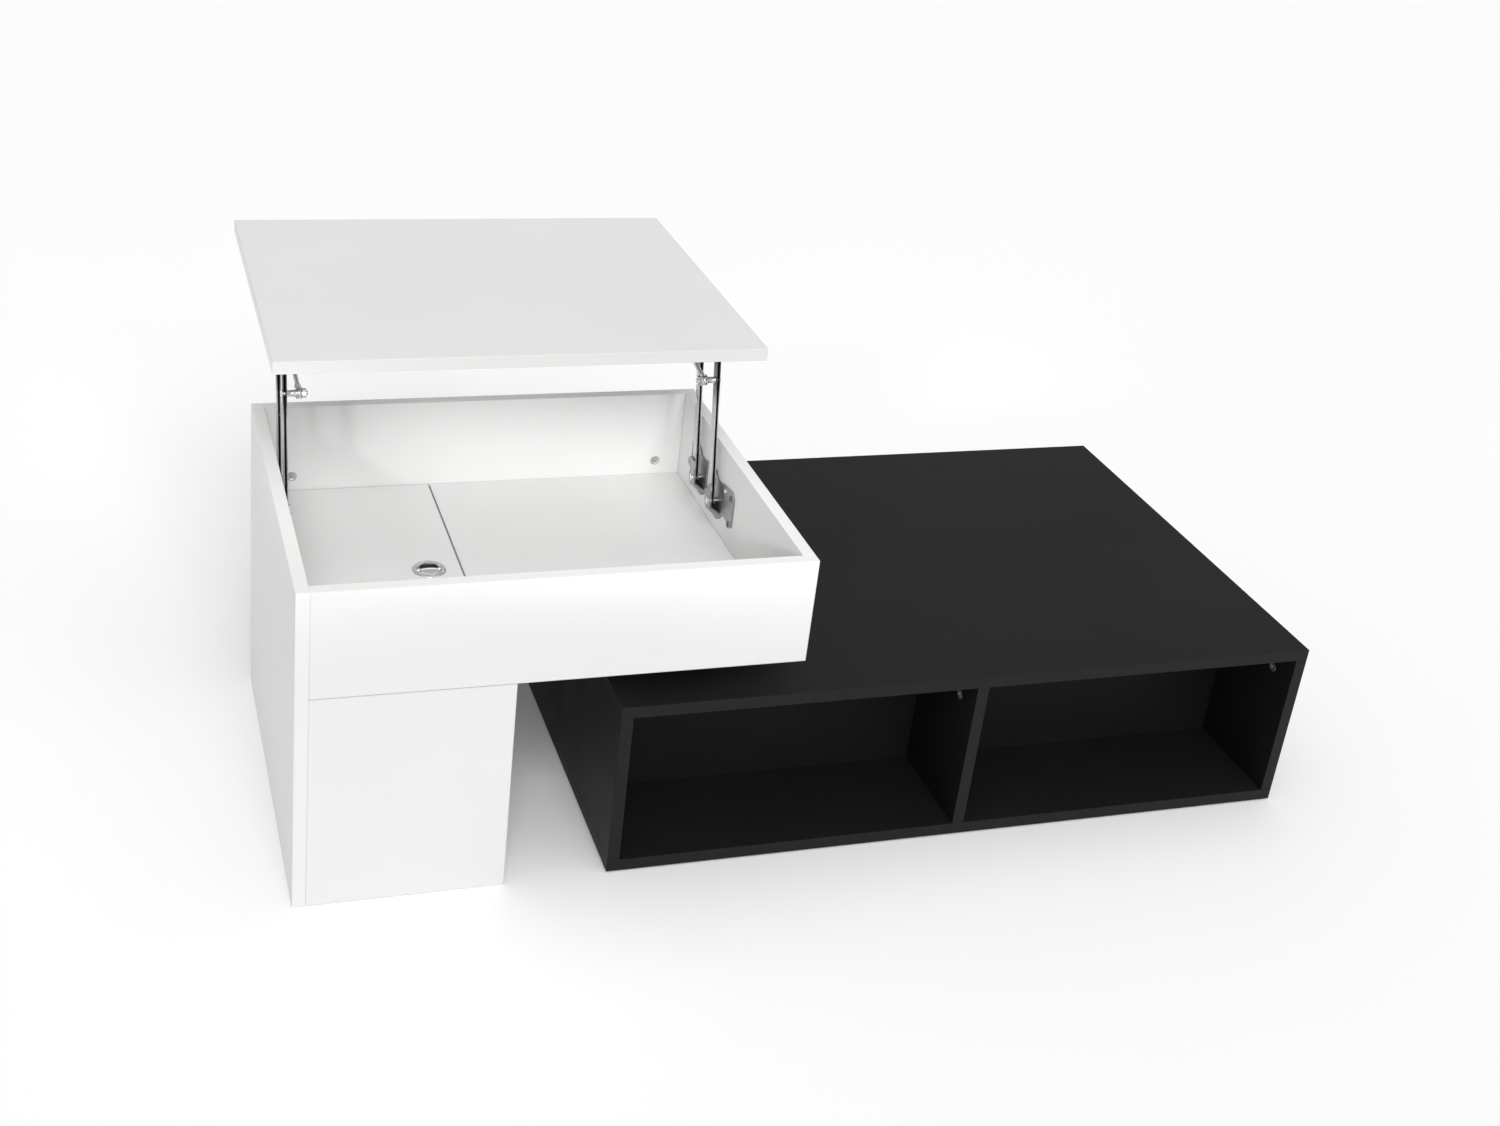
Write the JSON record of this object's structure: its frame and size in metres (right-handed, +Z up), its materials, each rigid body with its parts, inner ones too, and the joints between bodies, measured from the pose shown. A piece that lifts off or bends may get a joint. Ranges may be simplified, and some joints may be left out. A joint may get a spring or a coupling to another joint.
{
  "type": "lift top coffee table",
  "caption": "Lift top coffee table: a white cabinet with a tray under a lid on parallel arms, its column beside and its tray over a low black open cabinet.",
  "frame": {"origin": "centre of the column's footprint, on the floor", "axes": "+X along the table from the column to the low cabinet, +Y to the back, the way the lid moves as it lifts, +Z up"},
  "size_m": [1.27, 0.7051, 0.5652],
  "materials": {
    "white_board": "matt white melamine on chipboard",
    "black_board": "matt black melamine on chipboard",
    "beech": "bare beech",
    "zinc": "die-cast zinc",
    "bracket_steel": "plated sheet steel",
    "arm_steel": "bright nickel plated sheet steel",
    "bright_steel": "bright plated steel",
    "black_paint": "black painted tube",
    "screw_steel": "zinc plated",
    "felt": "grey felt",
    "glide_plastic": "moulded",
    "ring_chrome": "polished"
  },
  "bodies": {
    "cabinet": {"left_end_panel": "white_board", "tray_front_panel": "white_board", "tray_right_panel": "white_board", "tray_back_panel": "white_board", "tray_floor_panel": "white_board", "column_front_panel": "white_board", "column_back_panel": "white_board", "column_inner_panel": "white_board", "column_bottom_panel": "white_board", "hatch_cleats": "white_board", "white_cam_locks": "zinc", "white_cam_bolts": "zinc", "white_dowels": "beech", "support_feet": "white_board", "foot_pads": "felt", "foot_screws": "screw_steel", "base_bracket_left": "bracket_steel", "base_bracket_right": "bracket_steel", "base_rivets": "bright_steel", "base_screws": "screw_steel"},
    "low_cabinet": {"low_top_panel": "black_board", "low_bottom_panel": "black_board", "low_left_panel": "black_board", "low_right_panel": "black_board", "low_divider": "black_board", "low_back_left": "black_board", "low_back_right": "black_board", "low_cam_locks": "zinc", "low_cam_bolts": "zinc", "low_dowels": "beech", "low_bottom_screws": "screw_steel", "low_glides": "glide_plastic"},
    "front_arms": {"front_arm_left": "arm_steel", "front_arm_right": "arm_steel", "strut_bolts": "bright_steel", "bolt_spacers": "bright_steel", "bolt_washers": "bright_steel", "bolt_nuts": "bright_steel"},
    "rear_arms": {"rear_arm_left": "arm_steel", "rear_arm_right": "arm_steel", "arm_studs": "bright_steel"},
    "lift_top": {"lid_panel": "white_board", "top_bracket_left": "bracket_steel", "top_bracket_right": "bracket_steel", "top_rivets": "bright_steel", "top_screws": "screw_steel", "fork_rivets": "bright_steel"},
    "strut_rods": {"strut_rod_left": "bright_steel", "strut_rod_right": "bright_steel"},
    "strut_cylinders": {"strut_cylinder_left": "black_paint", "strut_cylinder_right": "black_paint", "strut_end_pins": "bright_steel"},
    "hatch": {"hatch_panel": "white_board", "ring_cup": "ring_chrome", "ring_pins": "ring_chrome", "ring_screws": "ring_chrome"},
    "ring_handle": {"ring_bail": "ring_chrome"}
  },
  "joints": [
    {"name": "low_slide", "type": "slide", "parent": "cabinet", "child": "low_cabinet", "axis": [1, 0, 0], "range_m": [-0.121, 0.1]},
    {"name": "lift", "type": "hinge", "parent": "cabinet", "child": "front_arms", "pos_m": [0, 0.0615, 0.329], "axis": [1, 0, 0], "range_deg": [0, 85.7]},
    {"name": "rear_arm_pivot", "type": "hinge", "parent": "cabinet", "child": "rear_arms", "pos_m": [0, 0.1285, 0.329], "axis": [1, 0, 0], "range_deg": [0, 86]},
    {"name": "lid_pivot", "type": "hinge", "parent": "front_arms", "child": "lift_top", "pos_m": [0, 0.09829, 0.52559], "axis": [1, 0, 0], "range_deg": [-86, 0]},
    {"name": "strut_pivot", "type": "hinge", "parent": "front_arms", "child": "strut_rods", "pos_m": [0, 0.09038, 0.48332], "axis": [1, 0, 0], "range_deg": [-95, 0]},
    {"name": "strut_stroke", "type": "slide", "parent": "strut_rods", "child": "strut_cylinders", "axis": [0, 0.9826, 0.186], "range_m": [-0.0535, 0]},
    {"name": "hatch_tilt", "type": "hinge", "parent": "cabinet", "child": "hatch", "pos_m": [-0.105, 0, 0.289], "axis": [0, -1, 0], "range_deg": [0, 30]},
    {"name": "ring_lift", "type": "hinge", "parent": "hatch", "child": "ring_handle", "pos_m": [0.065, 0, 0.288], "axis": [-1, 0, 0], "range_deg": [0, 90]}
  ],
  "couplings": [
    {"joint": "rear_arm_pivot", "follows": "lift", "ratio": 1},
    {"joint": "lid_pivot", "follows": "lift", "ratio": -1},
    {"joint": "strut_pivot", "follows": "lift", "ratio": -1.0976},
    {"joint": "strut_stroke", "follows": "lift", "m_per_rad": -0.035321}
  ]
}
